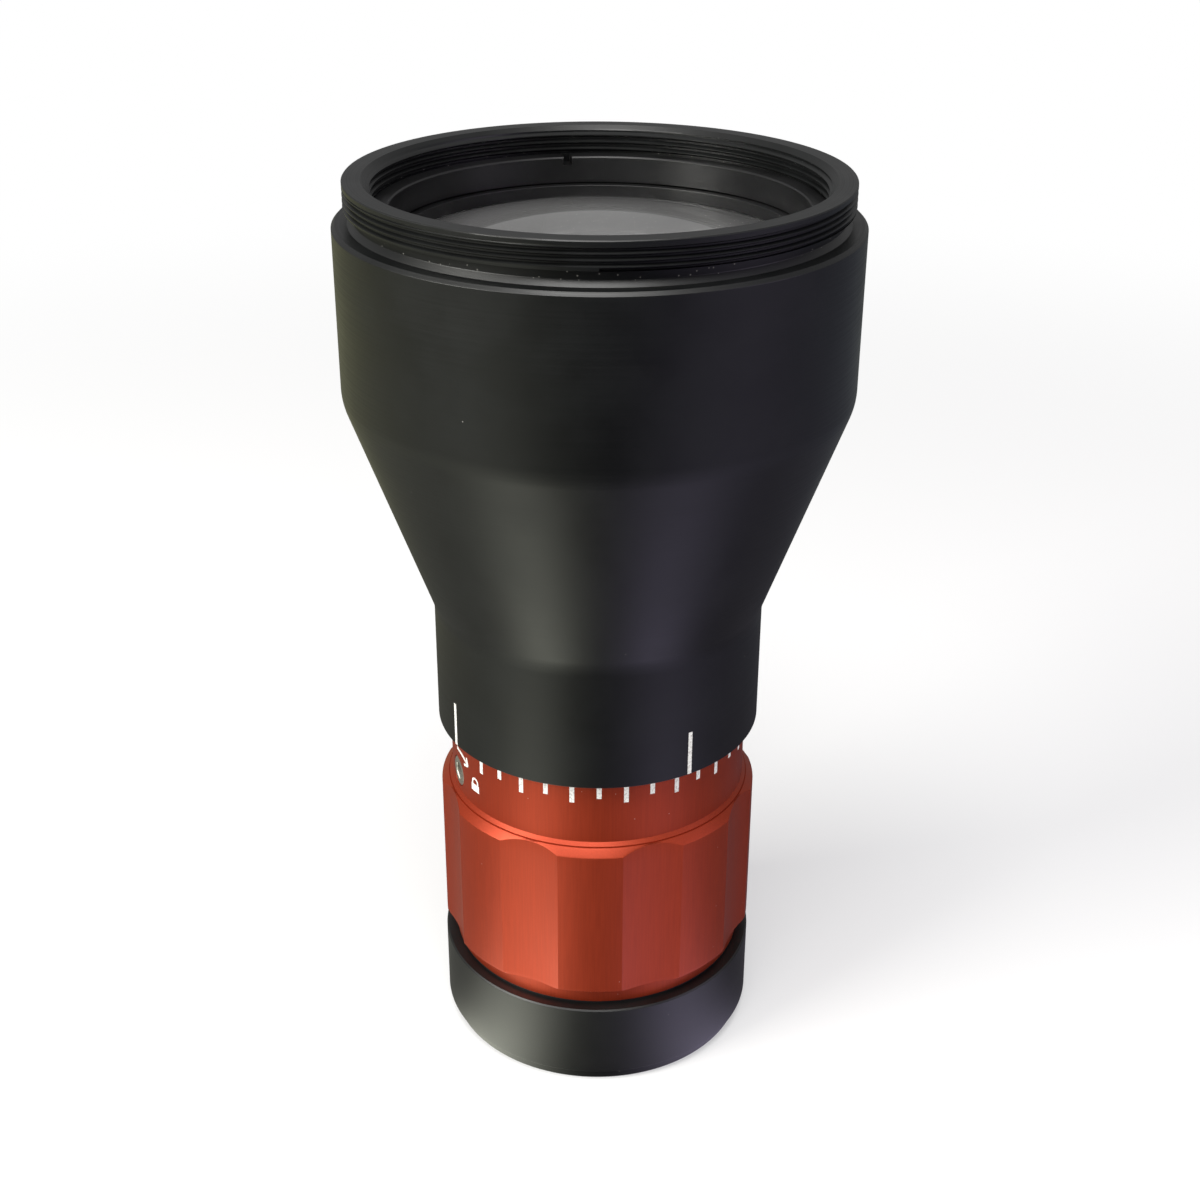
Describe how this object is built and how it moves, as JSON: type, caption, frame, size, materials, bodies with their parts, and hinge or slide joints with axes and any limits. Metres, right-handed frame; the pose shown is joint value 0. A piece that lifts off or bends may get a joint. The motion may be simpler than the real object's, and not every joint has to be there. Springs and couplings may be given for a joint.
{
  "type": "galilean beam expander",
  "caption": "Tapered laser beam expander with a wide lensed end with inner and outer threads, a fluted divergence ring, a lock screw and a threaded input end.",
  "frame": {"origin": "centre of the face it stands on, which is the input end's annular face", "axes": "+Z along the optical axis from the input end to the output end, -Y towards the index line's side"},
  "size_m": [0.045, 0.045, 0.0844],
  "materials": {
    "black_anodise": "fine turned, matt black anodised",
    "red_anodise": "fine turned, satin red anodised",
    "bright_steel": "bright stainless",
    "coated_glass": "polished, anti-reflection coated",
    "rubber_seal": "matt black",
    "nylon": "natural white",
    "bronze": "turned, plain"
  },
  "bodies": {
    "housing": {"front_barrel": "black_anodise", "objective_crown_lens": "coated_glass", "objective_flint_lens": "coated_glass", "objective_spacer_ring": "black_anodise", "objective_retaining_ring": "black_anodise", "guide_tube": "black_anodise", "upper_drag_ring": "rubber_seal", "lower_drag_ring": "rubber_seal", "upper_thrust_washer": "nylon", "spring_washer": "bright_steel", "lower_thrust_washer": "nylon", "base_ring": "black_anodise"},
    "adjuster": {"adjuster_ring": "red_anodise", "lock_pad": "nylon"},
    "lock": {"lock_screw": "bright_steel"},
    "lens_carriage": {"lens_cell": "black_anodise", "input_lens": "coated_glass", "input_lens_retaining_ring": "black_anodise", "follower_roller_a": "bronze", "follower_roller_b": "bronze", "follower_screw_a": "bright_steel", "follower_screw_b": "bright_steel"}
  },
  "joints": [
    {"name": "adjuster_turn", "type": "hinge", "parent": "housing", "child": "adjuster", "pos_m": [0, 0, 0.018], "axis": [0, 0, 1], "range_deg": [-120, 120]},
    {"name": "lens_slide", "type": "slide", "parent": "housing", "child": "lens_carriage", "axis": [0, 0, 1], "range_m": [-0.00401, 0.00401]},
    {"name": "lock_screw_turn", "type": "hinge", "parent": "adjuster", "child": "lock", "pos_m": [-0.01236, -0.00462, 0.02885], "axis": [-0.9367, -0.3502, 0], "range_deg": [-90, 180]}
  ],
  "couplings": [
    {"joint": "lens_slide", "follows": "adjuster_turn", "m_per_rad": -0.0019099}
  ]
}
